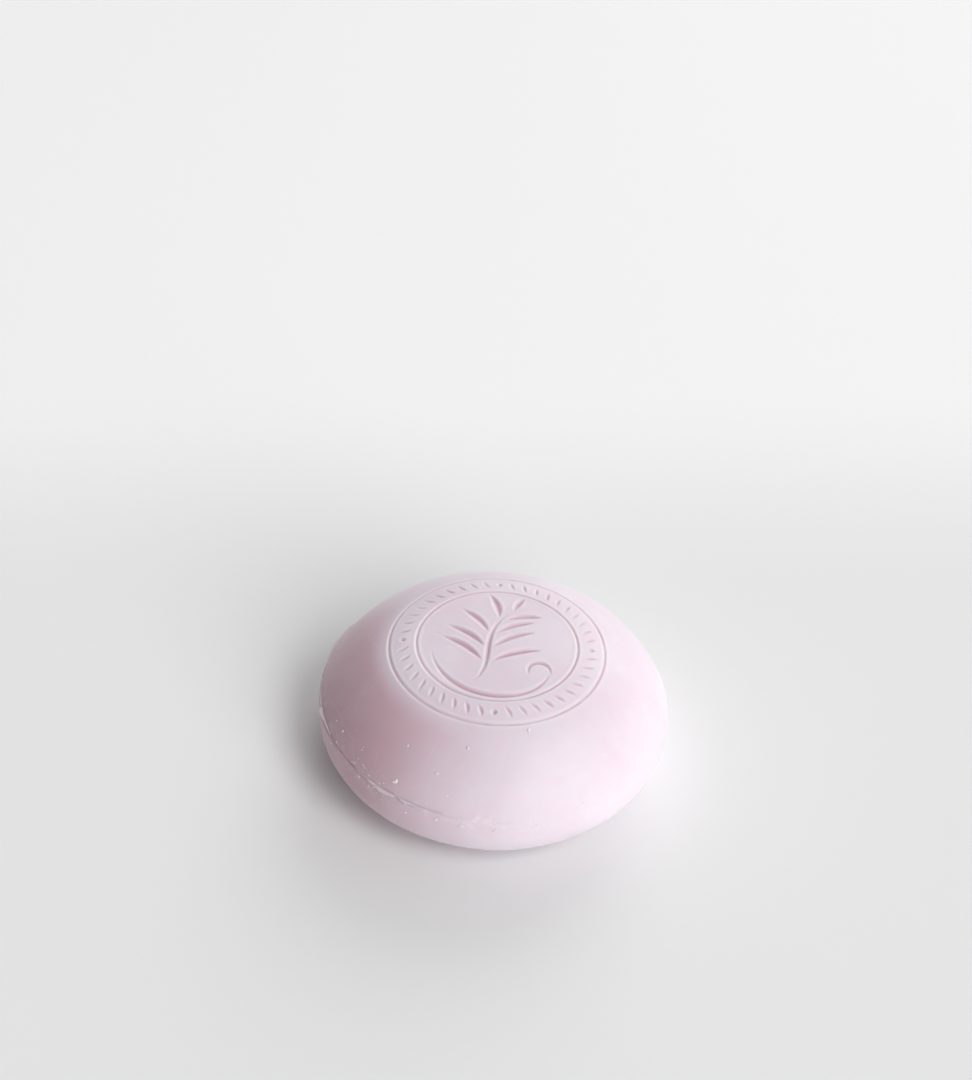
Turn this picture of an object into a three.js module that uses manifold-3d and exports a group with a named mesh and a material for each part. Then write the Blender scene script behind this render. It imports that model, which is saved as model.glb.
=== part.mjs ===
// A round shaving soap puck: one hard-pressed block with a stamped face, the thin
// web that the dies squeeze out at the parting line, and the crumbs that cling to
// its front. Millimetres, +Z up, origin at the centre of the flat foot.
import * as THREE from 'three';
import { ConvexGeometry } from 'three/addons/geometries/ConvexGeometry.js';
import { mergeVertices } from 'three/addons/utils/BufferGeometryUtils.js';
import Module from 'manifold-3d';

const wasm = await Module();
wasm.setup();
const { degToRad, lerp } = THREE.MathUtils;

// Block, upper half
const puckRadius = 38; // at the parting line
const crownHeight = 14.6; // parting line up to the middle of the face
const faceDomeRadius = 213; // the stamped face is gently domed
const upperDraft = 26; // degrees off vertical at the parting line

// Block, lower half
const baseHeight = 16; // foot up to the parting line
const ledge = 0.3; // how far the lower half stands proud at the parting line
const beltHeight = 4.2; // parting line down to the widest level
const beltSwell = 0.3; // how much wider that level is than the ledge
const baseDomeRadius = 198;
const footRadius = 12; // flat that the puck rests on

// Stamp
const innerRingRadius = 17.4;
const outerRingRadius = 23.3;
const ringWidth = 0.7;
const ringDepth = 0.35;
const markCount = 44; // leaf marks and beads between the two rings
const marksPerBead = 11; // every eleventh mark is a bead
const markLength = 3;
const markHalfWidth = 0.45;
const markSlant = 24; // degrees off the radius
const beadLength = 1.5;
const beadHalfWidth = 0.7;
const strokeHalfWidth = 0.75; // the sprig's strokes, at their widest
const strokeDepth = 0.5;
const leafPairs = 4;
const lowestLeaf = 11.4;
const highestLeaf = 8.2;
const lowestLeafAt = 0.3; // as a share of the stem's length
const highestLeafAt = 0.88;
const lowestLeafAngle = 60; // degrees off the stem
const highestLeafAngle = 47;

// Web of soap along the parting line, and crumbs
const fitGap = 0.1; // between the block and what clings to it
const webThickness = 0.4;
const webReach = 1.3; // out from the upper half, at its widest

// Finish
const soapColour = 0xe6cfdb;
const webColour = 0xefe0e7;
const latheSegments = 72;

const soap = new THREE.MeshStandardMaterial({ color: soapColour, roughness: 0.48, metalness: 0 });
const crumbledSoap = new THREE.MeshStandardMaterial({ color: webColour, roughness: 0.75, metalness: 0 });

// A fixed, repeatable number from 0 to 1 for each whole number.
function chance(seed) {
  const value = Math.sin(seed * 12.9898 + 4.1414) * 43758.5453;
  return value - Math.floor(value);
}

// One half of the block is two tangent arcs: a shoulder that leaves the parting
// line at its draft angle, and a flat dome across the middle.
function halfOutline(radius, height, domeRadius, draftDegrees) {
  const draft = degToRad(draftDegrees);
  const domeCentre = height - domeRadius;
  const top = radius ** 2 + domeCentre ** 2 - domeRadius ** 2;
  const bottom = 2 * (radius * Math.cos(draft) - domeCentre * Math.sin(draft) - domeRadius);
  const shoulder = top / bottom;
  const centreR = radius - shoulder * Math.cos(draft);
  const centreZ = -shoulder * Math.sin(draft);
  const join = Math.atan2(centreZ - domeCentre, centreR);
  return { draft, domeRadius, domeCentre, shoulder, centreR, centreZ, join };
}

// Height above the parting plane at a distance from the axis.
function heightAt(half, r) {
  if (r < half.domeRadius * Math.cos(half.join)) {
    return half.domeCentre + Math.sqrt(half.domeRadius ** 2 - r ** 2);
  }
  return half.centreZ + Math.sqrt(Math.max(half.shoulder ** 2 - (r - half.centreR) ** 2, 0));
}

// Points of the shoulder arc, from the angle `from` to the parting line.
function shoulderPoints(half, from, steps) {
  const points = [];
  for (let i = 0; i <= steps; i += 1) {
    const angle = lerp(from, half.draft, i / steps);
    const r = half.centreR + half.shoulder * Math.cos(angle);
    points.push(new THREE.Vector2(r, half.centreZ + half.shoulder * Math.sin(angle)));
  }
  return points;
}

const upper = halfOutline(puckRadius, crownHeight, faceDomeRadius, upperDraft);
const footSag = baseDomeRadius - Math.sqrt(baseDomeRadius ** 2 - footRadius ** 2);
const widestRadius = puckRadius + ledge + beltSwell;
const lower = halfOutline(widestRadius, baseHeight - beltHeight + footSag, baseDomeRadius, 0);

// Height of the stamped face above the foot.
function faceHeight(r) {
  return baseHeight + heightAt(upper, r);
}

// Radius of the belt between the ledge and the widest level, at a share of its height.
function beltRadius(share) {
  return puckRadius + ledge + beltSwell * Math.sin((share * Math.PI) / 2);
}

// Radius and depth of the points across one incised ring.
function ringGroove(ringRadius) {
  const points = [];
  for (const across of [-1, -0.5, 0, 0.5, 1]) {
    const r = ringRadius + (across * ringWidth) / 2;
    const depth = ringDepth * Math.cos((across * Math.PI) / 2) ** 2;
    points.push(new THREE.Vector2(r, faceHeight(r) - depth));
  }
  return points;
}

function blockProfile() {
  const points = [new THREE.Vector2(0, faceHeight(0))];
  for (const share of [0.33, 0.66]) {
    const r = share * innerRingRadius;
    points.push(new THREE.Vector2(r, faceHeight(r)));
  }
  points.push(...ringGroove(innerRingRadius));
  const middle = (innerRingRadius + outerRingRadius) / 2;
  points.push(new THREE.Vector2(middle, faceHeight(middle)));
  points.push(...ringGroove(outerRingRadius));
  const edge = outerRingRadius + ringWidth;
  const start = Math.acos(Math.min((edge - upper.centreR) / upper.shoulder, 1));
  for (const point of shoulderPoints(upper, start, 9)) {
    points.push(new THREE.Vector2(point.x, baseHeight + point.y));
  }
  for (const share of [0, 0.33, 0.66]) {
    points.push(new THREE.Vector2(beltRadius(share), baseHeight - share * beltHeight));
  }
  const beltFoot = baseHeight - beltHeight;
  for (const point of shoulderPoints(lower, lower.join, 9).reverse()) {
    points.push(new THREE.Vector2(point.x, beltFoot - point.y));
  }
  points.push(new THREE.Vector2(footRadius, 0));
  points.push(new THREE.Vector2(0, 0));
  return points.reverse();
}

// Indexed geometry with shared vertices and no empty triangles.
function welded(geometry) {
  const bare = geometry.clone();
  bare.deleteAttribute('normal');
  bare.deleteAttribute('uv');
  const merged = mergeVertices(bare, 1e-4);
  const kept = [];
  const index = merged.index.array;
  for (let i = 0; i < index.length; i += 3) {
    const [a, b, c] = index.slice(i, i + 3);
    if (a !== b && b !== c && c !== a) kept.push(a, b, c);
  }
  merged.setIndex(kept);
  return merged;
}

function toSolid(geometry) {
  const merged = welded(geometry);
  const vertProperties = Float32Array.from(merged.attributes.position.array);
  const triVerts = Uint32Array.from(merged.index.array);
  return new wasm.Manifold(new wasm.Mesh({ numProp: 3, vertProperties, triVerts }));
}

function toGeometry(solid) {
  const mesh = solid.getMesh();
  const geometry = new THREE.BufferGeometry();
  geometry.setAttribute('position', new THREE.BufferAttribute(mesh.vertProperties, 3));
  geometry.setIndex(new THREE.BufferAttribute(mesh.triVerts, 1));
  return geometry;
}

// A closed tube whose sections are given as rings of points, with a point at each end.
function sleeve(rings, firstPoint, lastPoint) {
  const sides = rings[0].length;
  const positions = [firstPoint, ...rings.flat(), lastPoint];
  const last = positions.length - 1;
  const index = [];
  for (let side = 0; side < sides; side += 1) {
    const next = (side + 1) % sides;
    index.push(0, 1 + next, 1 + side);
    for (let ring = 0; ring < rings.length - 1; ring += 1) {
      const here = 1 + ring * sides;
      const there = here + sides;
      index.push(here + side, here + next, there + next);
      index.push(here + side, there + next, there + side);
    }
    index.push(last - sides + side, last - sides + next, last);
  }
  const geometry = new THREE.BufferGeometry();
  geometry.setAttribute('position', new THREE.Float32BufferAttribute(positions.flat(), 3));
  geometry.setIndex(index);
  return geometry;
}

// The cutter of one incised stroke: it follows a flat curve laid on the domed
// face, swells to its full width in the middle and runs out at both ends.
function strokeCutter(curve, halfWidth, depth, steps) {
  const sides = 8;
  const rings = [];
  for (let i = 1; i < steps; i += 1) {
    const swell = Math.sin((Math.PI * i) / steps) ** 0.7;
    const centre = curve.getPoint(i / steps);
    const tangent = curve.getTangent(i / steps);
    const ring = [];
    for (let side = 0; side < sides; side += 1) {
      const angle = ((side + 0.5) * 2 * Math.PI) / sides;
      const across = halfWidth * swell * Math.cos(angle);
      const x = centre.x - tangent.y * across;
      const y = centre.y + tangent.x * across;
      ring.push([x, y, faceHeight(Math.hypot(x, y)) + depth * swell * Math.sin(angle)]);
    }
    rings.push(ring);
  }
  const ends = [curve.getPoint(0), curve.getPoint(1)];
  const [first, last] = ends.map((end) => [end.x, end.y, faceHeight(end.length())]);
  return toSolid(sleeve(rings, first, last));
}

// A curved stroke from a point, in a direction, with a sideways bend.
function bentStroke(start, directionDegrees, length, bend) {
  const along = new THREE.Vector2(1, 0).rotateAround(new THREE.Vector2(), degToRad(directionDegrees));
  const across = new THREE.Vector2(-along.y, along.x);
  const end = start.clone().addScaledVector(along, length);
  const middle = start.clone().addScaledVector(along, length / 2).addScaledVector(across, bend * length);
  return new THREE.QuadraticBezierCurve(start, middle, end);
}

// The sprig in the middle of the face: a stem, a curled tail, a bud and paired leaves.
function sprigCutters() {
  const reach = innerRingRadius - ringWidth;
  const at = (x, y) => new THREE.Vector2(x * reach, y * reach);
  const stem = new THREE.CubicBezierCurve(at(-0.3, -0.74), at(0.04, -0.4), at(-0.3, 0.12), at(0.16, 0.6));
  const tail = new THREE.CubicBezierCurve(at(-0.84, -0.2), at(-0.7, -1.1), at(0.5, -1.2), at(0.68, -0.5));
  const curl = new THREE.CubicBezierCurve(at(0.69, -0.56), at(0.7, -0.24), at(0.32, -0.3), at(0.42, -0.58));
  const bud = bentStroke(at(0.2, 0.66), 62, highestLeaf * 0.6, 0.1);
  const cutters = [strokeCutter(stem, strokeHalfWidth * 0.8, strokeDepth, 12)];
  cutters.push(strokeCutter(tail, strokeHalfWidth, strokeDepth, 12));
  cutters.push(strokeCutter(curl, strokeHalfWidth * 0.8, strokeDepth, 8));
  cutters.push(strokeCutter(bud, strokeHalfWidth, strokeDepth, 6));
  for (let pair = 0; pair < leafPairs; pair += 1) {
    const up = pair / (leafPairs - 1);
    const share = lerp(lowestLeafAt, highestLeafAt, up);
    const root = stem.getPoint(share);
    const heading = THREE.MathUtils.radToDeg(stem.getTangent(share).angle());
    const length = lerp(lowestLeaf, highestLeaf, up);
    for (const side of [-1, 1]) {
      const direction = heading + side * lerp(lowestLeafAngle, highestLeafAngle, up);
      const offset = bentStroke(root, direction, strokeHalfWidth * 1.6, 0).getPoint(1);
      const leaf = bentStroke(offset, direction, length, side * -0.16);
      cutters.push(strokeCutter(leaf, strokeHalfWidth * 1.15, strokeDepth, 8));
    }
  }
  return cutters;
}

// Slanted leaf marks and round beads in the band between the rings.
function bandCutters() {
  const middle = (innerRingRadius + outerRingRadius) / 2;
  const cutters = [];
  for (let mark = 0; mark < markCount; mark += 1) {
    const isBead = mark % marksPerBead === 0;
    const length = isBead ? beadLength : markLength;
    const slant = isBead ? 0 : markSlant;
    const azimuth = (mark * 360) / markCount;
    const centre = new THREE.Vector2(middle, 0).rotateAround(new THREE.Vector2(), degToRad(azimuth));
    const start = bentStroke(centre, azimuth + slant + 180, length / 2, 0).getPoint(1);
    const curve = bentStroke(start, azimuth + slant, length, isBead ? 0 : 0.12);
    const halfWidth = isBead ? beadHalfWidth : markHalfWidth;
    cutters.push(strokeCutter(curve, halfWidth, ringDepth, isBead ? 4 : 5));
  }
  return cutters;
}

function soapBlock() {
  const turned = new THREE.LatheGeometry(blockProfile(), latheSegments);
  turned.rotateX(Math.PI / 2);
  const cutters = [...sprigCutters(), ...bandCutters()];
  const cut = cutters.reduce((joined, cutter) => joined.add(cutter));
  return toGeometry(toSolid(turned).subtract(cut));
}

// A ragged strip of web lying on the ledge, between two azimuths.
function partingWeb(fromDegrees, toDegrees, reach, seed) {
  const steps = Math.round((toDegrees - fromDegrees) / 1.5);
  const inner = puckRadius + fitGap;
  const bottom = baseHeight + fitGap;
  const corners = (share) => {
    const azimuth = degToRad(lerp(fromDegrees, toDegrees, share));
    const waves = Math.sin(seed + share * steps * 0.9) * Math.sin(2 * seed + share * steps * 0.37);
    const ragged = 0.7 + 0.3 * waves;
    const width = Math.max(reach * ragged * Math.sin(Math.PI * share) ** 0.4, ledge / 2);
    const place = (r, z) => [r * Math.cos(azimuth), r * Math.sin(azimuth), z];
    const outer = inner + width;
    const lip = bottom + webThickness / 2;
    const top = bottom + webThickness;
    return [place(inner, bottom), place(outer, bottom), place(outer, lip), place(inner, top)];
  };
  const rings = [];
  for (let step = 1; step < steps; step += 1) rings.push(corners(step / steps).reverse());
  const mean = (ring, axis) => ring.reduce((sum, corner) => sum + corner[axis], 0) / ring.length;
  const middleOf = (ring) => [0, 1, 2].map((axis) => mean(ring, axis));
  return sleeve(rings, middleOf(corners(0)), middleOf(corners(1)));
}

// A crumb with a flat underside, resting on the block where its azimuth and
// height above the foot put it.
function crumb(size, seed) {
  const sides = 7;
  const points = [];
  for (let i = 0; i < sides; i += 1) {
    const angle = (i * 2 * Math.PI) / sides + 0.5 * chance(seed + i);
    const r = (size / 2) * lerp(0.65, 1, chance(seed + 20 + i));
    points.push(new THREE.Vector3(r * Math.cos(angle), r * Math.sin(angle), 0));
    const top = r * lerp(0.55, 0.8, chance(seed + 40 + i));
    const height = size * lerp(0.28, 0.45, chance(seed + 60 + i));
    points.push(new THREE.Vector3(top * Math.cos(angle), top * Math.sin(angle), height));
  }
  return new ConvexGeometry(points);
}

// Radius of the block above its widest level, and the angle of its skin, at a
// height above the foot.
function skinAt(height) {
  if (height > baseHeight) {
    const angle = Math.asin(Math.min((height - baseHeight - upper.centreZ) / upper.shoulder, 1));
    return { r: upper.centreR + upper.shoulder * Math.cos(angle), tilt: angle };
  }
  const share = Math.min((baseHeight - height) / beltHeight, 1);
  const slope = ((beltSwell * Math.PI) / 2 / beltHeight) * Math.cos((share * Math.PI) / 2);
  return { r: beltRadius(share), tilt: Math.atan(slope) };
}

function placeOnSkin(mesh, azimuthDegrees, height) {
  const azimuth = degToRad(azimuthDegrees);
  const { r, tilt } = skinAt(height);
  const outward = new THREE.Vector3(Math.cos(tilt), 0, Math.sin(tilt));
  outward.applyAxisAngle(new THREE.Vector3(0, 0, 1), azimuth);
  mesh.position.set(r * Math.cos(azimuth), r * Math.sin(azimuth), height).addScaledVector(outward, fitGap);
  mesh.quaternion.setFromUnitVectors(new THREE.Vector3(0, 0, 1), outward);
}

// Web strips: name, first and last azimuth in degrees, reach.
const webs = [
  ['web_rear_left', 146, 172, webReach],
  ['web_left', 178, 206, webReach * 0.7],
  ['web_front_left', 222, 256, webReach * 0.75],
];

// Crumbs: azimuth in degrees, height above the foot, size across.
const crumbs = [
  [287, crownHeight + baseHeight - 2.3, 1.5],
  [260, crownHeight + baseHeight - 4.2, 0.9],
  [237, crownHeight + baseHeight - 6.2, 0.8],
  [251, crownHeight + baseHeight - 8.2, 1],
  [238, baseHeight + 2.6, 1.5],
  [210, baseHeight + 3, 0.8],
  [254, baseHeight - 1.6, 1],
  [262, baseHeight - 1.8, 1.3],
  [272, baseHeight - 2.4, 1],
  [244, baseHeight - 2.6, 1.1],
];

const shavingSoapPuck = new THREE.Group();

const block = new THREE.Mesh(soapBlock(), soap);
block.name = 'soap_block';
shavingSoapPuck.add(block);

webs.forEach(([name, from, to, reach], order) => {
  const web = new THREE.Mesh(partingWeb(from, to, reach, order + 1), crumbledSoap);
  web.name = name;
  shavingSoapPuck.add(web);
});

crumbs.forEach(([azimuth, height, size], order) => {
  const piece = new THREE.Mesh(crumb(size, 100 * (order + 1)), crumbledSoap);
  piece.name = `crumb_${String(order + 1).padStart(2, '0')}`;
  placeOnSkin(piece, azimuth, height);
  shavingSoapPuck.add(piece);
});

export default shavingSoapPuck;
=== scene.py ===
import bmesh
import bpy
import math
import random
from mathutils import Matrix, Vector, geometry, noise


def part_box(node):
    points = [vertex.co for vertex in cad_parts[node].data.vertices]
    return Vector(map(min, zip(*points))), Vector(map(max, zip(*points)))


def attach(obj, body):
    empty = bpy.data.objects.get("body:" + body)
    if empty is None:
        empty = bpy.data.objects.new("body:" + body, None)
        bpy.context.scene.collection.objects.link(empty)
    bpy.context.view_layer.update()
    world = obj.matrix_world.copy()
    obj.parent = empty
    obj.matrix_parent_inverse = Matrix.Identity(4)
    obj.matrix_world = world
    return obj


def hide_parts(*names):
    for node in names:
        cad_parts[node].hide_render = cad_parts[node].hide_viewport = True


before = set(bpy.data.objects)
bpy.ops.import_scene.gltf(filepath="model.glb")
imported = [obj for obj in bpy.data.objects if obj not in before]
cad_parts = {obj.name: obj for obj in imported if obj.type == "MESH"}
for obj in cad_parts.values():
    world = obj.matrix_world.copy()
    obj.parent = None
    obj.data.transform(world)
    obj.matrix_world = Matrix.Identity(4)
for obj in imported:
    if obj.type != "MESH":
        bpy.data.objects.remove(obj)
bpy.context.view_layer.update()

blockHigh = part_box("soap_block")[1]
mm = 0.001  # the soap is written in millimetres times this, and the studio in metres


# small helpers for node trees

def socketNamed(sockets, name):
    return next(s for s in sockets if s.name == name and s.enabled)


def feed(tree, socket, value):  # a link if the value is a socket, a plain setting if not
    if isinstance(value, bpy.types.NodeSocket):
        tree.links.new(value, socket)
    else:
        socket.default_value = value


def addNode(tree, kind, inputs=None, output=None, **settings):
    made = tree.nodes.new(kind)
    for name, value in settings.items():
        setattr(made, name, value)
    for name, value in (inputs or {}).items():
        feed(tree, socketNamed(made.inputs, name), value)
    return socketNamed(made.outputs, output) if output else made


def calc(tree, operation, *terms):
    made = addNode(tree, "ShaderNodeMath", operation=operation)
    for socket, term in zip(made.inputs, terms):
        feed(tree, socket, term)
    return made.outputs[0]


def vectorCalc(tree, operation, *terms):
    made = addNode(tree, "ShaderNodeVectorMath", operation=operation)
    for socket, term in zip(made.inputs, terms):
        feed(tree, socket, term)
    return made


def ramp(tree, value, start, end, low=0.0, high=1.0):  # smooth change from low to high
    inputs = {"Value": value, "From Min": start, "From Max": end, "To Min": low, "To Max": high}
    return addNode(tree, "ShaderNodeMapRange", inputs, "Result", interpolation_type="SMOOTHSTEP")


def noiseAt(tree, vector, scale, detail=2.0, roughness=0.5):
    inputs = {"Vector": vector, "Scale": scale, "Detail": detail, "Roughness": roughness}
    return addNode(tree, "ShaderNodeTexNoise", inputs, "Fac")


def centred(tree, value):  # noise from 0..1 to -1..1
    return calc(tree, "MULTIPLY_ADD", value, 2.0, -1.0)


def product(tree, first, *others):
    for other in others:
        first = calc(tree, "MULTIPLY", first, other)
    return first


def scaled(tree, vector, factor):
    made = vectorCalc(tree, "SCALE", vector)
    feed(tree, socketNamed(made.inputs, "Scale"), factor)
    return made.outputs[0]


def flatWay(tree, angle):  # the level direction at an angle in radians
    cosine, sine = calc(tree, "COSINE", angle), calc(tree, "SINE", angle)
    return addNode(tree, "ShaderNodeCombineXYZ", {"X": cosine, "Y": sine}, "Vector")


def facingSide(tree, flat, degrees):  # 1 on the side at that azimuth, -1 on the far side
    heading = vectorCalc(tree, "NORMALIZE", flat).outputs[0]
    side = flatWay(tree, calc(tree, "RADIANS", degrees))
    return vectorCalc(tree, "DOT_PRODUCT", heading, side).outputs["Value"]


def newShapeTree(name, sizes):
    tree = bpy.data.node_groups.new(name, "GeometryNodeTree")
    tree.interface.new_socket("Geometry", in_out="INPUT", socket_type="NodeSocketGeometry")
    kinds = {int: "NodeSocketInt", float: "NodeSocketFloat"}
    for label, value in sizes.items():
        socket = tree.interface.new_socket(label, in_out="INPUT", socket_type=kinds[type(value)])
        socket.default_value = value
    tree.interface.new_socket("Guide", in_out="INPUT", socket_type="NodeSocketObject")
    tree.interface.new_socket("Material", in_out="INPUT", socket_type="NodeSocketMaterial")
    tree.interface.new_socket("Geometry", in_out="OUTPUT", socket_type="NodeSocketGeometry")
    given = tree.nodes.new("NodeGroupInput")
    return tree, {socket.name: socket for socket in given.outputs if socket.name}


def endShapeTree(tree, geometryOut, material):
    real = addNode(tree, "GeometryNodeRealizeInstances", {"Geometry": geometryOut}, "Geometry")
    smooth = addNode(tree, "GeometryNodeSetShadeSmooth", {"Geometry": real}, "Geometry")
    inputs = {"Geometry": smooth, "Material": material}
    painted = addNode(tree, "GeometryNodeSetMaterial", inputs, "Geometry")
    feed(tree, tree.nodes.new("NodeGroupOutput").inputs[0], painted)


def bakeShape(piece, tree, values):  # runs the tree once and keeps its result as a plain mesh
    modifier = piece.modifiers.new(tree.name, "NODES")
    modifier.node_group = tree
    for item in tree.interface.items_tree:  # an input is set by its identifier
        if item.in_out == "INPUT" and item.name in values:
            modifier[item.identifier] = values[item.name]
    evaluated = piece.evaluated_get(bpy.context.evaluated_depsgraph_get())
    mesh = bpy.data.meshes.new_from_object(evaluated)
    piece.modifiers.clear()
    piece.data = mesh
    mesh.name = piece.name


def pieceName(node):  # web_left becomes webLeft
    first, *others = node.split("_")
    return first + "".join(word.title() for word in others)


def newPiece(name, verts, faces, edges=()):
    mesh = bpy.data.meshes.new(name)
    mesh.from_pydata(verts, list(edges), faces)
    piece = bpy.data.objects.new(name, mesh)
    bpy.context.scene.collection.objects.link(piece)
    return piece


def finishPiece(piece, slotName, *cadNodes):
    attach(piece, "root")
    if cadNodes:
        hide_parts(*cadNodes)


# materials

soapLook = {
    "pale": (0.815, 0.735, 0.805, 1),
    "deep": (0.775, 0.665, 0.745, 1),
    "rosy": (0.68, 0.455, 0.52, 1),  # painted shade: a darker, rosier patch on the left flank, the side turned away from the lights
    "rosySide": 199,  # degrees
    "rosyFrom": 22.5 * mm,  # from the axis, where the patch begins
    "rosyTo": 28 * mm,  # and where it is full
    # painted shade: the cuts of the stamp darker and redder, more so where they are deeper
    "stamped": (0.66, 0.42, 0.51, 1),
    "bloom": (0.9, 0.83, 0.87, 1),  # dried soap along the seam and on the lips of the stamp
    "glow": 0.5,  # subsurface weight
    "glowDepth": 4.5 * mm,
    "glowSpread": (1.0, 0.4, 0.46),
    "specular": 0.25,
    "sheen": 0.2,  # the dry film shows at a grazing angle
}


def startMaterial(name):
    material = bpy.data.materials.new(name)
    material.use_nodes = True
    tree = material.node_tree
    shader = tree.nodes["Principled BSDF"]
    place = addNode(tree, "ShaderNodeTexCoord", None, "Object")
    return material, tree, shader, place


def mixColour(tree, share, first, second):
    made = addNode(tree, "ShaderNodeMix", data_type="RGBA")
    feed(tree, socketNamed(made.inputs, "Factor"), share)
    feed(tree, socketNamed(made.inputs, "A"), first)
    feed(tree, socketNamed(made.inputs, "B"), second)
    return socketNamed(made.outputs, "Result")


def bumpFrom(tree, height, strength, distance, below=None):
    inputs = {"Height": height, "Strength": strength, "Distance": distance}
    if below:
        inputs["Normal"] = below
    return addNode(tree, "ShaderNodeBump", inputs, "Normal")


def makePressedSoap():
    material, tree, shader, place = startMaterial("pressedSoap")
    cloud = noiseAt(tree, place, 45.0, 4.0, 0.6)
    colour = mixColour(tree, ramp(tree, cloud, 0.3, 0.7), soapLook["deep"], soapLook["pale"])
    # painted shade: the left flank darker and rosier
    colour = mixColour(tree, paintedShadePatch(tree, place), colour, soapLook["rosy"])
    # painted shade in the stamp's cuts, by how deep they are
    press = addNode(tree, "ShaderNodeAttribute", None, "Fac", attribute_name="press")
    colour = mixColour(tree, product(tree, press, 0.85), colour, soapLook["stamped"])
    scratches = scratchLines(tree, place)
    lip = addNode(tree, "ShaderNodeAttribute", None, "Fac", attribute_name="lip")
    dry = addNode(tree, "ShaderNodeAttribute", None, "Fac", attribute_name="dry")
    crumbly = ramp(tree, noiseAt(tree, place, 520.0, 5.0, 0.7), 0.5, 0.66)
    dusty = calc(tree, "MAXIMUM", product(tree, dry, crumbly), product(tree, lip, 0.35))
    dusty = calc(tree, "MAXIMUM", dusty, product(tree, scratches, 0.4))
    colour = mixColour(tree, product(tree, dusty, 0.7), colour, soapLook["bloom"])
    tree.links.new(colour, shader.inputs["Base Color"])
    smear = noiseAt(tree, place, 160.0, 5.0, 0.62)
    tree.links.new(ramp(tree, smear, 0.25, 0.75, 0.36, 0.5), shader.inputs["Roughness"])
    shader.inputs["Subsurface Weight"].default_value = soapLook["glow"]
    shader.inputs["Subsurface Radius"].default_value = soapLook["glowSpread"]
    shader.inputs["Subsurface Scale"].default_value = soapLook["glowDepth"]
    shader.inputs["Specular IOR Level"].default_value = soapLook["specular"]
    shader.inputs["IOR"].default_value = 1.46
    shader.inputs["Sheen Weight"].default_value = soapLook["sheen"]
    shader.inputs["Sheen Roughness"].default_value = 0.4
    pressed = bumpFrom(tree, noiseAt(tree, place, 380.0, 6.0, 0.6), 0.22, 0.12 * mm)
    grain = bumpFrom(tree, noiseAt(tree, place, 2600.0, 3.0, 0.6), 0.18, 0.04 * mm, pressed)
    scored = bumpFrom(tree, product(tree, scratches, -1.0), 0.3, 0.03 * mm, grain)
    tree.links.new(scored, shader.inputs["Normal"])
    return material


def paintedShadePatch(tree, place):  # painted shade on the left flank, soft-edged, and mottled by a slow noise
    flat = vectorCalc(tree, "MULTIPLY", place, (1.0, 1.0, 0.0)).outputs[0]
    radius = vectorCalc(tree, "LENGTH", flat).outputs["Value"]
    onSide = ramp(tree, facingSide(tree, flat, soapLook["rosySide"]), 0.4, 1.0)
    onFlank = ramp(tree, radius, soapLook["rosyFrom"], soapLook["rosyTo"])
    mottle = ramp(tree, noiseAt(tree, place, 60.0, 3.0, 0.6), 0.3, 0.7, 0.75, 1.0)
    return product(tree, onSide, onFlank, mottle)


def scratchLines(tree, place):  # a few fine scuffs from handling, broken up by a slow noise
    bent = addNode(tree, "ShaderNodeTexNoise", {"Vector": place, "Scale": 60.0, "Detail": 1.0}, "Color")
    where = vectorCalc(tree, "ADD", place, scaled(tree, bent, 6.0 * mm)).outputs[0]
    lines = 0.0
    for turn, gap in ((0.5, 7.0 * mm), (2.1, 9.0 * mm), (-0.7, 11.0 * mm)):
        axis = (math.cos(turn), math.sin(turn), 0.3)
        across = vectorCalc(tree, "DOT_PRODUCT", where, axis).outputs["Value"]
        past = calc(tree, "MODULO", calc(tree, "ADD", across, 1.0), gap)
        off = calc(tree, "ABSOLUTE", calc(tree, "SUBTRACT", past, gap / 2))
        line = ramp(tree, off, 0.09 * mm, 0.02 * mm)
        shifted = vectorCalc(tree, "ADD", place, (turn, gap, 0.0)).outputs[0]
        broken = ramp(tree, noiseAt(tree, shifted, 90.0, 2.0), 0.56, 0.64)
        lines = calc(tree, "MAXIMUM", lines, product(tree, line, broken))
    return lines


def makeDrySoap(name, colour, glow, glowDepth):  # the same soap, torn and dried
    material, tree, shader, place = startMaterial(name)
    mottle = ramp(tree, noiseAt(tree, place, 900.0, 4.0, 0.65), 0.3, 0.7)
    darker = tuple(0.9 * part for part in colour[:3]) + (1,)
    tree.links.new(mixColour(tree, mottle, darker, colour), shader.inputs["Base Color"])
    shader.inputs["Roughness"].default_value = 0.62
    shader.inputs["Subsurface Weight"].default_value = glow
    shader.inputs["Subsurface Radius"].default_value = (1.0, 0.75, 0.82)
    shader.inputs["Subsurface Scale"].default_value = glowDepth
    rough = bumpFrom(tree, noiseAt(tree, place, 2200.0, 6.0, 0.7), 0.5, 0.08 * mm)
    tree.links.new(rough, shader.inputs["Normal"])
    return material


# the block

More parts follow.
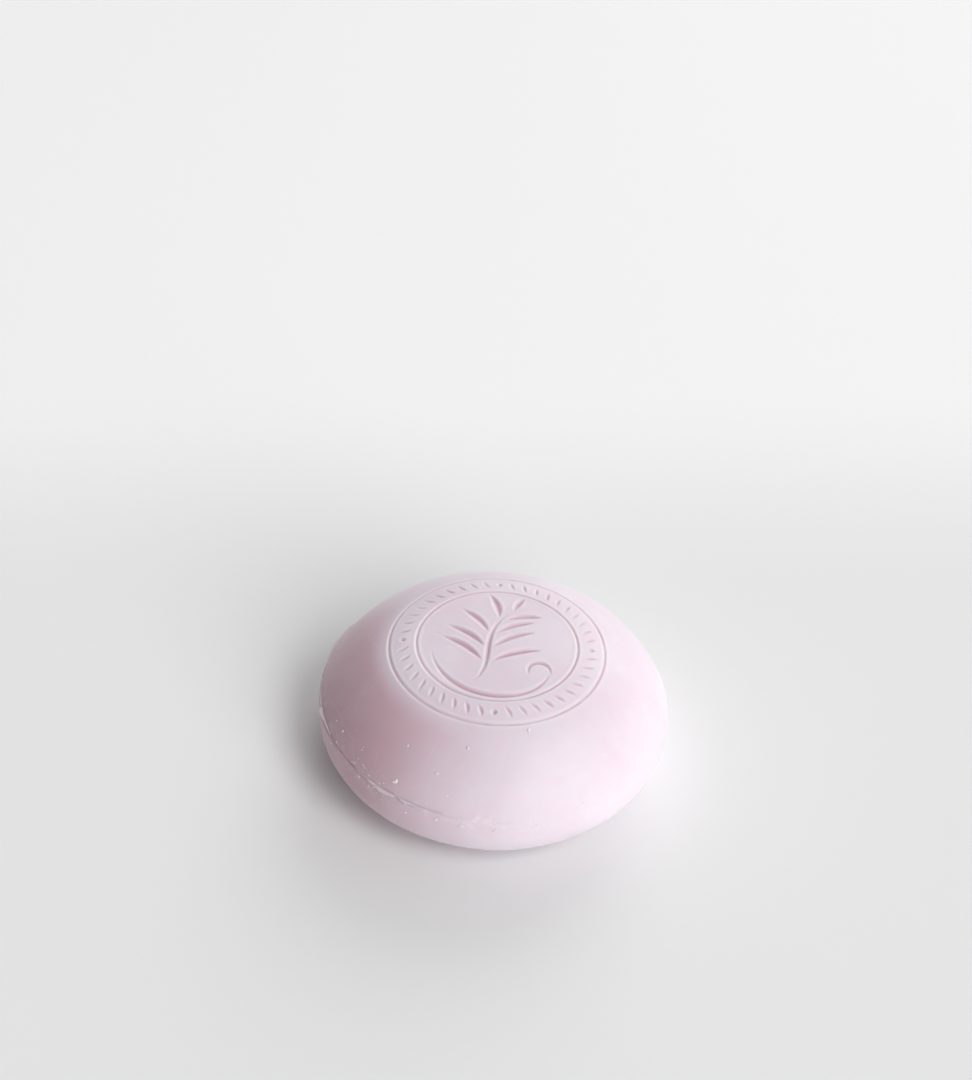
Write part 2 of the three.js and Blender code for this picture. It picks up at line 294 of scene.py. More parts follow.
blockSizes = {
    "ledge": 0.3 * mm,  # the lower half stands proud of the upper one at the seam
    "beltSwell": 0.3 * mm,  # and swells by this much more down to its widest level
    "crownHeight": 14.6 * mm,
    "faceDome": 213 * mm,
    "upperDraft": 26,  # degrees off vertical at the seam
    "beltHeight": 4.2 * mm,
    "baseDome": 198 * mm,
    "footRadius": 12 * mm,
    "fineRadius": 24.6 * mm,  # inside this the mesh is fine enough for the stamp
    "fineGap": 0.19 * mm,  # from ring to ring on the face
    "seamGap": 0.25 * mm,  # near the seam
    "coarseGap": 0.9 * mm,  # and everywhere else
    "aboveSeam": 2.6 * mm,  # how far up the finer rings reach
    "beltRows": 16,
    "facePointGap": 0.26 * mm,  # from point to point round a ring on the face
    "seamPointGap": 0.4 * mm,
    "sidePointGap": 0.95 * mm,
    "faceLevel": 6.0 * mm,  # above the seam, where the face counts as begun
    "seamBand": 2.2 * mm,  # either side of the seam
    "mostPoints": 640,  # on the finest rings
    "crease": [  # inwards and down from the seam
        (0.1 * mm, 0.02 * mm),
        (0.16 * mm, 0.12 * mm),
        (0.1 * mm, 0.24 * mm),
        (-0.06 * mm, 0.26 * mm),
        (-0.2 * mm, 0.3 * mm),
        (-0.29 * mm, 0.42 * mm),
    ],
    "sharpSide": 172,  # degrees: the crease is sharpest here, and rubbed smooth opposite
    "smoothFrom": 1.3 * mm,  # above the seam, where it is rubbed smooth
    "smoothTo": 1.6 * mm,  # and below it
}
puckRadius = blockHigh.x - blockSizes["ledge"] - blockSizes["beltSwell"]
seamHeight = blockHigh.z - blockSizes["crownHeight"]


def halfOutline(radius, height, dome, draftDegrees):  # a shoulder arc tangent to a flat dome
    draft = math.radians(draftDegrees)
    domeCentre = height - dome
    top = radius ** 2 + domeCentre ** 2 - dome ** 2
    shoulder = top / (2 * (radius * math.cos(draft) - domeCentre * math.sin(draft) - dome))
    centreR = radius - shoulder * math.cos(draft)
    centreZ = -shoulder * math.sin(draft)
    join = math.atan2(centreZ - domeCentre, centreR)
    return {"draft": draft, "dome": dome, "domeCentre": domeCentre, "shoulder": shoulder,
            "centreR": centreR, "centreZ": centreZ, "join": join}


def heightAt(half, r):
    if r < half["dome"] * math.cos(half["join"]):
        return half["domeCentre"] + math.sqrt(half["dome"] ** 2 - r ** 2)
    return half["centreZ"] + math.sqrt(max(half["shoulder"] ** 2 - (r - half["centreR"]) ** 2, 0))


def beltRadius(share):  # between the ledge and the widest level, at a share of the way down
    swell = blockSizes["beltSwell"] * math.sin(share * math.pi / 2)
    return puckRadius + blockSizes["ledge"] + swell


footSag = blockSizes["baseDome"] - math.sqrt(blockSizes["baseDome"] ** 2 - blockSizes["footRadius"] ** 2)
upperHalf = halfOutline(puckRadius, blockSizes["crownHeight"],
                        blockSizes["faceDome"], blockSizes["upperDraft"])
lowerHalf = halfOutline(blockHigh.x, seamHeight - blockSizes["beltHeight"] + footSag,
                        blockSizes["baseDome"], 0)


def alongLine(points, gap):  # points a gap apart along a line of (r, z) points
    result = [points[0]]
    for start, end in zip(points, points[1:]):
        steps = max(1, math.ceil(math.dist(start, end) / gap))
        for i in range(1, steps + 1):
            share = i / steps
            result.append((start[0] + (end[0] - start[0]) * share, start[1] + (end[1] - start[1]) * share))
    return result


def shoulderArc(half, fromAngle, toAngle, gap):
    steps = math.ceil(abs(toAngle - fromAngle) * half["shoulder"] / gap)
    points = []
    for i in range(steps + 1):
        angle = fromAngle + (toAngle - fromAngle) * i / steps
        points.append((half["centreR"] + half["shoulder"] * math.cos(angle),
                       half["centreZ"] + half["shoulder"] * math.sin(angle)))
    return points


def blockOutline():  # from just off the axis on top to just off it underneath
    sizes = blockSizes
    gap = sizes["coarseGap"]
    steps = round(sizes["fineRadius"] / sizes["fineGap"])
    radii = [sizes["fineRadius"] * i / steps for i in range(1, steps + 1)]
    outline = [(r, seamHeight + heightAt(upperHalf, r)) for r in radii]
    edge = math.acos((sizes["fineRadius"] - upperHalf["centreR"]) / upperHalf["shoulder"])
    nearSeam = upperHalf["draft"] + sizes["aboveSeam"] / upperHalf["shoulder"]
    arc = shoulderArc(upperHalf, edge, nearSeam, gap)
    arc += shoulderArc(upperHalf, nearSeam, upperHalf["draft"] + 0.01, sizes["seamGap"])[1:]
    outline += [(r, seamHeight + z) for r, z in arc[1:]]
    for inward, below in sizes["crease"]:
        outline.append((puckRadius - inward, seamHeight - below))
    beltFoot = seamHeight - sizes["beltHeight"]
    start = sizes["crease"][-1][1] / sizes["beltHeight"]
    for i in range(1, sizes["beltRows"] + 1):
        share = start + (1 - start) * (i / sizes["beltRows"]) ** 1.5
        outline.append((beltRadius(share), seamHeight - share * sizes["beltHeight"]))
    arc = shoulderArc(lowerHalf, 0, lowerHalf["join"], gap)
    outline += [(r, beltFoot - z) for r, z in arc[1:]]
    inward = lowerHalf["dome"] * math.cos(lowerHalf["join"])
    while inward > sizes["footRadius"] + gap:
        inward -= 1.3 * gap
        outline.append((inward, beltFoot - heightAt(lowerHalf, inward)))
    outline += alongLine([(sizes["footRadius"], 0), (1.2 * gap, 0)], 1.4 * gap)
    return outline


def pointGapAt(r, z):  # how far apart the points of a ring may be
    onFace = r < blockSizes["fineRadius"] + 0.1 * mm
    if onFace and z > seamHeight + blockSizes["faceLevel"]:
        return blockSizes["facePointGap"]
    nearSeam = abs(z - seamHeight) < blockSizes["seamBand"]
    return blockSizes["seamPointGap"] if nearSeam else blockSizes["sidePointGap"]


def pointsOnRing(r, z):  # halved as often as the gap allows
    count = blockSizes["mostPoints"]
    while count > 10 and 2 * math.pi * r / (count / 2) < pointGapAt(r, z):
        count //= 2
    return count


def rubbedShare(angle):  # how much of the crease is rubbed away, at an azimuth
    facing = math.cos(angle - math.radians(blockSizes["sharpSide"]))
    share = min(max((facing + 0.3) / 0.9, 0), 1)
    patchy = 0.5 * noise.noise(Vector((3.1 * math.cos(angle), 3.1 * math.sin(angle), 0.4)))
    return min(max(0.96 - share * share * (3 - 2 * share) + patchy, 0), 0.96)


def rubbedRadius(z):  # the smooth skin across the seam, tangent to both halves
    above, below = blockSizes["smoothFrom"], blockSizes["smoothTo"]
    angle = math.asin((above - upperHalf["centreZ"]) / upperHalf["shoulder"])
    topRadius = upperHalf["centreR"] + upperHalf["shoulder"] * math.cos(angle)
    share = below / blockSizes["beltHeight"]
    steepest = blockSizes["beltSwell"] * math.pi / 2 / blockSizes["beltHeight"]
    lowSlope = -steepest * math.cos(share * math.pi / 2)
    run = above + below
    t = (z - seamHeight + below) / run
    low = beltRadius(share) * (2 * t ** 3 - 3 * t ** 2 + 1) + lowSlope * run * (t ** 3 - 2 * t ** 2 + t)
    return low + topRadius * (3 * t ** 2 - 2 * t ** 3) - math.tan(angle) * run * (t ** 3 - t ** 2)


def ringNet(name, outline):  # closed net of rings that thins out towards the axis
    verts, faces, rings = [(0, 0, seamHeight + blockSizes["crownHeight"])], [], []
    previous = 10
    for r, z in outline:
        count = max(min(pointsOnRing(r, z), previous * 2), previous // 2)
        previous = count
        rings.append(range(len(verts), len(verts) + count))
        nearSeam = -blockSizes["smoothTo"] < z - seamHeight < blockSizes["smoothFrom"]
        smooth = rubbedRadius(z) if nearSeam else r
        for i in range(count):
            angle = 2 * math.pi * i / count
            here = r + (smooth - r) * rubbedShare(angle) if nearSeam else r
            verts.append((here * math.cos(angle), here * math.sin(angle), z))
    verts.append((0, 0, 0))
    first, last = rings[0], rings[-1]
    for i in range(len(first)):
        faces.append((0, first[i], first[(i + 1) % len(first)]))
    for upper, lower in zip(rings, rings[1:]):
        faces += ringFaces(upper, lower)
    for i in range(len(last)):
        faces.append((len(verts) - 1, last[(i + 1) % len(last)], last[i]))
    return newPiece(name, verts, faces)


def ringFaces(upper, lower):
    faces = []
    few = min(len(upper), len(lower))
    for i in range(few):
        after = (i + 1) % few
        if len(upper) == len(lower):
            faces.append((upper[i], lower[i], lower[after], upper[after]))
        elif len(lower) > len(upper):
            fine = [lower[2 * i], lower[2 * i + 1], lower[(2 * i + 2) % len(lower)]]
            faces += [(upper[i], fine[0], fine[1]), (upper[i], fine[1], upper[after]),
                      (upper[after], fine[1], fine[2])]
        else:
            fine = [upper[2 * i], upper[2 * i + 1], upper[(2 * i + 2) % len(upper)]]
            faces += [(lower[i], fine[1], fine[0]), (lower[i], lower[after], fine[1]),
                      (lower[after], fine[2], fine[1])]
    return faces


# the stamp

stampSizes = {
    "Inner ring": 17.4 * mm,
    "Outer ring": 23.3 * mm,
    "Ring half width": 0.3 * mm,
    "Ring depth": 0.27 * mm,
    "Stroke depth": 0.45 * mm,
    "Deepest width": 0.8 * mm,  # half width at which a stroke reaches its full depth
    "Lip height": 0.06 * mm,
    "Marks": 44,
    "Marks per bead": 11,
    "Mark length": 3.0 * mm,
    "Mark half width": 0.46 * mm,
    "Mark slant": 24.0,
    "Bead half width": 0.7 * mm,
    "Unevenness": 0.16 * mm,
    "Seam raggedness": 0.32 * mm,
    "Ragged side": 214.0,  # degrees: where the seam is most broken
    "Seam height": seamHeight,
}
sprigSizes = {
    "reach": 16.7 * mm,  # the curves below are written as shares of this
    "stem": ((-0.3, -0.74), (0.04, -0.4), (-0.3, 0.12), (0.16, 0.6)),
    "tail": ((-0.84, -0.2), (-0.7, -1.1), (0.5, -1.2), (0.68, -0.5)),
    "curl": ((0.69, -0.56), (0.7, -0.24), (0.32, -0.3), (0.42, -0.58)),
    "budAt": (0.2, 0.66),
    "budAngle": 62,
    "halfWidth": 0.78 * mm,
    "pairs": 4,
    "leafLength": (11.4 * mm, 8.2 * mm),  # of the lowest pair and of the highest
    "leafPlace": (0.3, 0.88),  # as shares of the stem's length
    "leafAngle": (60, 47),  # degrees off the stem
    "leafBend": 0.16,
    "pointGap": 0.16 * mm,
}


def strokePoints(start, handleA, handleB, end):
    length = (handleA - start).length + (handleB - handleA).length + (end - handleB).length
    count = max(12, math.ceil(length / sprigSizes["pointGap"]))
    return geometry.interpolate_bezier(start, handleA, handleB, end, count)


def bentStroke(start, direction, length, bend):  # the arc of one leaf
    along = Vector((math.cos(direction), math.sin(direction)))
    end = start + along * length
    middle = start + along * (length / 2) + Vector((-along.y, along.x)) * (bend * length)
    return strokePoints(start, start.lerp(middle, 2 / 3), end.lerp(middle, 2 / 3), end)


def sprigStrokes():  # (points, half width) of every stroke of the sprig
    sizes = sprigSizes
    width = sizes["halfWidth"]
    curves = {}
    for name in ("stem", "tail", "curl"):
        curves[name] = strokePoints(*[Vector(corner) * sizes["reach"] for corner in sizes[name]])
    stem = curves["stem"]
    budStart = Vector(sizes["budAt"]) * sizes["reach"]
    bud = bentStroke(budStart, math.radians(sizes["budAngle"]), sizes["leafLength"][1] * 0.6, 0.1)
    strokes = [(stem, 0.8 * width), (curves["tail"], width), (curves["curl"], 0.8 * width), (bud, width)]
    for pair in range(sizes["pairs"]):
        up = pair / (sizes["pairs"] - 1)
        length, share, lean = [low + (high - low) * up for low, high in
                               (sizes["leafLength"], sizes["leafPlace"], sizes["leafAngle"])]
        place = round(share * (len(stem) - 1))
        heading = stem[place + 1] - stem[place]
        heading = math.atan2(heading.y, heading.x)
        for side in (-1, 1):
            direction = heading + side * math.radians(lean)
            start = stem[place] + Vector((math.cos(direction), math.sin(direction))) * 1.6 * width
            leaf = bentStroke(start, direction, length, -side * sizes["leafBend"])
            strokes.append((leaf, 1.15 * width))
    return strokes


def makeSprigGuide():  # the strokes as bare edges, with the half width at each point
    verts, edges, widths = [], [], []
    for points, halfWidth in sprigStrokes():
        for i, point in enumerate(points):
            if i:
                edges.append((len(verts) - 1, len(verts)))
            verts.append((point.x, point.y, 0))
            widths.append(halfWidth * max(math.sin(math.pi * i / (len(points) - 1)), 0) ** 0.7)
    guide = newPiece("sprigGuide", verts, [], edges)
    guide.data.attributes.new("halfWidth", "FLOAT", "POINT").data.foreach_set("value", widths)
    return guide


def markLine(tree, length, halfWidth, bend):  # one stroke of the band, lying along X
    start = addNode(tree, "ShaderNodeCombineXYZ", {"X": product(tree, length, -0.5)}, "Vector")
    middle = addNode(tree, "ShaderNodeCombineXYZ", {"Y": product(tree, length, bend)}, "Vector")
    end = addNode(tree, "ShaderNodeCombineXYZ", {"X": product(tree, length, 0.5)}, "Vector")
    inputs = {"Resolution": 18, "Start": start, "Middle": middle, "End": end}
    curve = addNode(tree, "GeometryNodeCurveQuadraticBezier", inputs, "Curve")
    along = addNode(tree, "GeometryNodeSplineParameter", None, "Factor")
    swell = calc(tree, "POWER", calc(tree, "SINE", product(tree, along, math.pi)), 0.7)
    inputs = {"Geometry": curve, "Name": "halfWidth", "Value": product(tree, swell, halfWidth)}
    named = addNode(tree, "GeometryNodeStoreNamedAttribute", inputs, "Geometry")
    return addNode(tree, "GeometryNodeCurveToMesh", {"Curve": named}, "Mesh")


def bandMarks(tree, given):  # slanted leaf marks round the band, with a bead now and then
    middle = product(tree, calc(tree, "ADD", given["Inner ring"], given["Outer ring"]), 0.5)
    inputs = {"Vertices": given["Marks"], "Radius": middle}
    circle = addNode(tree, "GeometryNodeMeshCircle", inputs, "Mesh")
    index = addNode(tree, "GeometryNodeInputIndex", None, "Index")
    isMark = calc(tree, "GREATER_THAN", calc(tree, "MODULO", index, given["Marks per bead"]), 0.5)
    isBead = calc(tree, "SUBTRACT", 1.0, isMark)
    turn = calc(tree, "DIVIDE", product(tree, index, 2 * math.pi), given["Marks"])
    slanted = calc(tree, "ADD", turn, calc(tree, "RADIANS", given["Mark slant"]))
    leaf = markLine(tree, given["Mark length"], given["Mark half width"], 0.12)
    beadLength = product(tree, given["Bead half width"], 2.0)
    bead = markLine(tree, beadLength, given["Bead half width"], 0.0)
    rows = []
    for instance, chosen, angle in ((leaf, isMark, slanted), (bead, isBead, turn)):
        euler = addNode(tree, "ShaderNodeCombineXYZ", {"Z": angle}, "Vector")
        spin = addNode(tree, "FunctionNodeEulerToRotation", {"Euler": euler}, "Rotation")
        inputs = {"Points": circle, "Selection": chosen, "Instance": instance, "Rotation": spin}
        rows.append(addNode(tree, "GeometryNodeInstanceOnPoints", inputs, "Instances"))
    return rows


def lipShape(tree, past):  # the soft rim pushed up just past the edge of a cut
    return product(tree, ramp(tree, past, -0.1 * mm, 0.2 * mm), ramp(tree, past, 0.9 * mm, 0.2 * mm))


def pressTree():  # cuts the stamp into the net and gives the whole block its unevenness
    tree, given = newShapeTree("pressSoap", stampSizes)
    where = addNode(tree, "GeometryNodeInputPosition", None, "Position")
    x, y, z = addNode(tree, "ShaderNodeSeparateXYZ", {"Vector": where}).outputs
    flat = addNode(tree, "ShaderNodeCombineXYZ", {"X": x, "Y": y}, "Vector")
    radius = vectorCalc(tree, "LENGTH", flat).outputs["Value"]
    onTop = ramp(tree, calc(tree, "SUBTRACT", z, given["Seam height"]), 4 * mm, 6 * mm)

    join = addNode(tree, "GeometryNodeJoinGeometry")
    guide = addNode(tree, "GeometryNodeObjectInfo", {"Object": given["Guide"]}, "Geometry")
    for line in [guide, *bandMarks(tree, given)]:
        tree.links.new(line, join.inputs[0])
    lines = addNode(tree, "GeometryNodeRealizeInstances", {"Geometry": join.outputs[0]}, "Geometry")
    near = {"Geometry": lines, "Sample Position": flat}
    distance = addNode(tree, "GeometryNodeProximity", near, "Distance", target_element="EDGES")
    nearest = addNode(tree, "GeometryNodeSampleNearest", near, "Index")
    stored = addNode(tree, "GeometryNodeInputNamedAttribute", {"Name": "halfWidth"}, "Attribute")
    inputs = {"Geometry": lines, "Value": stored, "Index": nearest}
    width = calc(tree, "MAXIMUM", addNode(tree, "GeometryNodeSampleIndex", inputs, "Value"), 0.02 * mm)
    ratio = calc(tree, "DIVIDE", distance, width)
    fullness = calc(tree, "MINIMUM", calc(tree, "DIVIDE", width, given["Deepest width"]), 1.0)
    cut = product(tree, ramp(tree, ratio, 1.0, 0.1), calc(tree, "POWER", fullness, 0.8))
    strokes = product(tree, cut, given["Stroke depth"])
    lips = product(tree, lipShape(tree, calc(tree, "SUBTRACT", distance, width)), fullness)

    rings = 0.0
    for ringRadius in (given["Inner ring"], given["Outer ring"]):
        off = calc(tree, "ABSOLUTE", calc(tree, "SUBTRACT", radius, ringRadius))
        groove = ramp(tree, off, given["Ring half width"], 0.05 * mm)
        rings = calc(tree, "MAXIMUM", rings, product(tree, groove, given["Ring depth"]))
        past = calc(tree, "SUBTRACT", off, given["Ring half width"])
        lips = calc(tree, "MAXIMUM", lips, lipShape(tree, past))
    wear = ramp(tree, noiseAt(tree, where, 75.0, 3.0), 0.3, 0.62, 0.6, 1.0)  # the die bites unevenly
    depth = product(tree, onTop, wear, calc(tree, "MAXIMUM", strokes, rings))
    lips = product(tree, lips, onTop)
    rise = calc(tree, "SUBTRACT", product(tree, lips, given["Lip height"]), depth)

    normal = addNode(tree, "GeometryNodeInputNormal", None, "Normal")
    offFoot = ramp(tree, z, 0.2 * mm, 3 * mm)
    slow = centred(tree, noiseAt(tree, where, 42.0, 2.0))
    dents = product(tree, ramp(tree, noiseAt(tree, where, 210.0, 2.0), 0.34, 0.2), -0.5)
    uneven = product(tree, offFoot, given["Unevenness"], calc(tree, "ADD", slow, dents))
    fromSeam = calc(tree, "ABSOLUTE", calc(tree, "SUBTRACT", z, given["Seam height"]))
    broken = ramp(tree, facingSide(tree, flat, given["Ragged side"]), 0.1, 0.85, 0.16, 1.0)
    patches = ramp(tree, noiseAt(tree, where, 95.0, 2.0), 0.38, 0.6, 0.25, 1.0)
    rough = product(tree, broken, patches)
    atSeam = product(tree, ramp(tree, fromSeam, 1.3 * mm, 0.1 * mm), rough)
    jagged = centred(tree, noiseAt(tree, where, 520.0, 4.0, 0.65))
    torn = product(tree, jagged, given["Seam raggedness"], atSeam)
    dry = product(tree, ramp(tree, fromSeam, 3.4 * mm, 0.2 * mm), rough)
    outwards = scaled(tree, normal, calc(tree, "ADD", uneven, torn))
    upwards = addNode(tree, "ShaderNodeCombineXYZ", {"Z": rise}, "Vector")
    offset = vectorCalc(tree, "ADD", outwards, upwards).outputs[0]

    shape = given["Geometry"]
    # press, the depth of each cut as a share, is what the soap's colour uses for the painted shade in the
    # cuts
    pressShare = calc(tree, "DIVIDE", depth, given["Stroke depth"])
    for label, value in (("press", pressShare), ("lip", lips), ("dry", dry)):
        inputs = {"Geometry": shape, "Name": label, "Value": value}
        shape = addNode(tree, "GeometryNodeStoreNamedAttribute", inputs, "Geometry")
    shape = addNode(tree, "GeometryNodeSetPosition", {"Geometry": shape, "Offset": offset}, "Geometry")
    after = addNode(tree, "GeometryNodeInputPosition", None, "Position")
    raised = vectorCalc(tree, "MAXIMUM", after, (-1.0, -1.0, 0.0)).outputs[0]  # never below the floor
    shape = addNode(tree, "GeometryNodeSetPosition", {"Geometry": shape, "Position": raised}, "Geometry")
    endShapeTree(tree, shape, given["Material"])
    return tree


def makeBlock(material):
    block = ringNet("soapBlock", blockOutline())
    guide = makeSprigGuide()
    bakeShape(block, pressTree(), {**stampSizes, "Guide": guide, "Material": material})
    bpy.data.objects.remove(guide)
    finishPiece(block, "pressed_soap", "soap_block")
    print("soap block:", len(block.data.polygons), "faces")
    return block


# the web along the parting line

webSizes = {
    "Thickness": 0.3 * mm,
    "Root": 0.25 * mm,  # how far the web's root goes into the crease
    "Curl": 0.35 * mm,  # how much the free edge lifts or droops
    "Tear scale": 620.0,
    "From": 0.0,
    "To": 1.0,
    "Reach": 1.0 * mm,
    "Least": 0.0,  # the share of its reach that the web keeps where it is worn most
    "Seam radius": puckRadius,
    "Seam height": seamHeight,
}
leastOf = {"web_rear_left": 0.75, "web_left": 0.35, "web_front_left": 0.0}  # per web


def webTree():  # bends a closed tube into a thin ragged strip along the seam
    tree, given = newShapeTree("tearWeb", webSizes)
    where = addNode(tree, "GeometryNodeInputPosition", None, "Position")
    x, y, z = addNode(tree, "ShaderNodeSeparateXYZ", {"Vector": where}).outputs
    share = calc(tree, "ADD", z, 0.5)
    outward = calc(tree, "MULTIPLY_ADD", x, 0.5, 0.5)
    span = calc(tree, "SUBTRACT", given["To"], given["From"])
    azimuth = calc(tree, "MULTIPLY_ADD", share, span, given["From"])
    around = flatWay(tree, azimuth)
    spot = scaled(tree, around, given["Seam radius"])
    swell = calc(tree, "SINE", product(tree, share, math.pi))
    fade = calc(tree, "POWER", calc(tree, "MAXIMUM", swell, 0.0), 0.9)
    coarse = ramp(tree, noiseAt(tree, spot, 210.0, 3.0), 0.44, 0.62, given["Least"], 1.0)
    tears = centred(tree, noiseAt(tree, spot, given["Tear scale"], 5.0, 0.7))
    ragged = calc(tree, "MULTIPLY_ADD", tears, 0.45, 0.85)
    width = calc(tree, "ADD", product(tree, coarse, ragged, fade, given["Reach"]), given["Root"])
    start = calc(tree, "SUBTRACT", given["Seam radius"], given["Root"])
    r = calc(tree, "MULTIPLY_ADD", outward, width, start)
    thin = calc(tree, "MULTIPLY_ADD", outward, -0.7, 1.0)
    side = product(tree, y, thin, given["Thickness"], 0.5)
    curl = product(tree, centred(tree, noiseAt(tree, spot, 170.0, 3.0)), given["Curl"])
    lift = product(tree, curl, calc(tree, "POWER", outward, 2.0))
    level = calc(tree, "ADD", given["Seam height"], 0.12 * mm)
    height = calc(tree, "ADD", level, calc(tree, "ADD", side, lift))
    up = addNode(tree, "ShaderNodeCombineXYZ", {"Z": height}, "Vector")
    placed = vectorCalc(tree, "ADD", scaled(tree, around, r), up).outputs[0]
    inputs = {"Geometry": given["Geometry"], "Position": placed}
    shape = addNode(tree, "GeometryNodeSetPosition", inputs, "Geometry")
    endShapeTree(tree, shape, given["Material"])
    return tree


def closedTube(name, rows, sides):  # a unit tube along Z from -0.5 to 0.5, pointed at both ends
    verts, faces = [(0, 0, -0.5)], []
    for row in range(1, rows):
        for side in range(sides):
            angle = 2 * math.pi * side / sides
            verts.append((math.cos(angle), math.sin(angle), row / rows - 0.5))
    verts.append((0, 0, 0.5))
    for side in range(sides):
        after = (side + 1) % sides
        faces.append((0, 1 + after, 1 + side))
        for row in range(rows - 2):
            here = 1 + row * sides
            faces.append((here + side, here + after, here + sides + after, here + sides + side))
        last = 1 + (rows - 2) * sides
        faces.append((len(verts) - 1, last + side, last + after))
    return newPiece(name, verts, faces)


def makeWebs(material):
    tree = webTree()
    for node in sorted(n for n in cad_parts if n.startswith("web_")):
        points = [v.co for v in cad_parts[node].data.vertices]
        angles = [math.atan2(p.y, p.x) % (2 * math.pi) for p in points]
        values = {**webSizes, "Least": leastOf[node], "Material": material}
        values["From"], values["To"] = min(angles), max(angles)
        values["Reach"] = max(p.xy.length for p in points) - puckRadius
        rows = round((values["To"] - values["From"]) * puckRadius / (0.12 * mm))
        web = closedTube(pieceName(node), rows, 20)
        bakeShape(web, tree, values)
        orientFaces(web)
        finishPiece(web, "soap_web", node)
    print("webs made")


def orientFaces(piece):
    shape = bmesh.new()
    shape.from_mesh(piece.data)
    bmesh.ops.recalc_face_normals(shape, faces=shape.faces)
    shape.to_mesh(piece.data)
    shape.free()


# crumbs and dust

crumbLook = {
    "corners": 26,
    "flatness": 0.24,  # height over width
    "smooth": 3,  # subdivisions
    "roughness": 0.2,  # bumps, as a share of the crumb's size
    "sink": 0.3,  # how far it is stuck into the block, as a share of its size
}


def outwardAt(point):  # away from the block, at a point on its skin
    flatRadius = puckRadius ** 2
    halfHeight = (blockSizes["crownHeight"] if point.z > seamHeight else seamHeight) ** 2
    slope = (point.x / flatRadius, point.y / flatRadius, (point.z - seamHeight) / halfHeight)
    return Vector(slope).normalized()


def makeCrumb(node, order, material):
    points = [v.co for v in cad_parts[node].data.vertices]
    centre = sum(points, Vector()) / len(points)
    size = max((p - q).length for p in points for q in points)
    outward = outwardAt(centre)
    dice = random.Random(order)
    shape = bmesh.new()
    for _ in range(crumbLook["corners"]):
        corner = Vector([dice.gauss(0, 1) for _ in range(3)]).normalized() * dice.uniform(0.8, 1)
        corner.y *= dice.uniform(0.75, 1)
        corner.z *= crumbLook["flatness"]
        shape.verts.new(corner * size / 2)
    hull = bmesh.ops.convex_hull(shape, input=shape.verts)
    spare = hull["geom_interior"] + hull["geom_unused"]
    spare = list({part for part in spare if isinstance(part, bmesh.types.BMVert)})
    bmesh.ops.delete(shape, geom=spare, context="VERTS")
    for _ in range(crumbLook["smooth"]):
        bmesh.ops.subdivide_edges(shape, edges=shape.edges, cuts=1, use_grid_fill=True, smooth=0.35)
        bmesh.ops.triangulate(shape, faces=shape.faces)
    for vert in shape.verts:
        spot = vert.co / size * 3.4 + Vector((order * 7.3, 0, 0))
        push = noise.noise(spot) + 0.5 * noise.noise(spot * 2.7) + 0.25 * noise.noise(spot * 6.1)
        vert.co += vert.co.normalized() * push * crumbLook["roughness"] * size
    bmesh.ops.recalc_face_normals(shape, faces=shape.faces)
    tilt = Vector((0, 0, 1)).rotation_difference(outward).to_matrix()
    turn = tilt @ Matrix.Rotation(dice.uniform(0, 6.28), 3, "Z")
    shape.transform(Matrix.Translation(centre - outward * crumbLook["sink"] * size) @ turn.to_4x4())
    mesh = bpy.data.meshes.new(node)
    shape.to_mesh(mesh)
    shape.free()
    mesh.shade_smooth()
    mesh.materials.append(material)
    crumb = bpy.data.objects.new(pieceName(node), mesh)
    bpy.context.scene.collection.objects.link(crumb)
    finishPiece(crumb, "soap_crumb", node)


def makeCrumbs(material):
    nodes = sorted(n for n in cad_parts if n.startswith("crumb_"))
    for order, node in enumerate(nodes):
        makeCrumb(node, order + 1, material)
    print("crumbs:", len(nodes))


dustSizes = {
    "Seed": 7,
    "Density": 900000.0,  # grains to the square metre, where they are thickest
    "Smallest": 0.06 * mm,  # half the width of a grain
    "Largest": 0.26 * mm,
    "Flatness": 0.55,
    "Roughness": 0.05 * mm,
    "Dusty side": 243.0,  # degrees
    "Reach up": 7.5 * mm,  # from the seam
    "Reach down": 4.2 * mm,
    "Seam height": seamHeight,
}


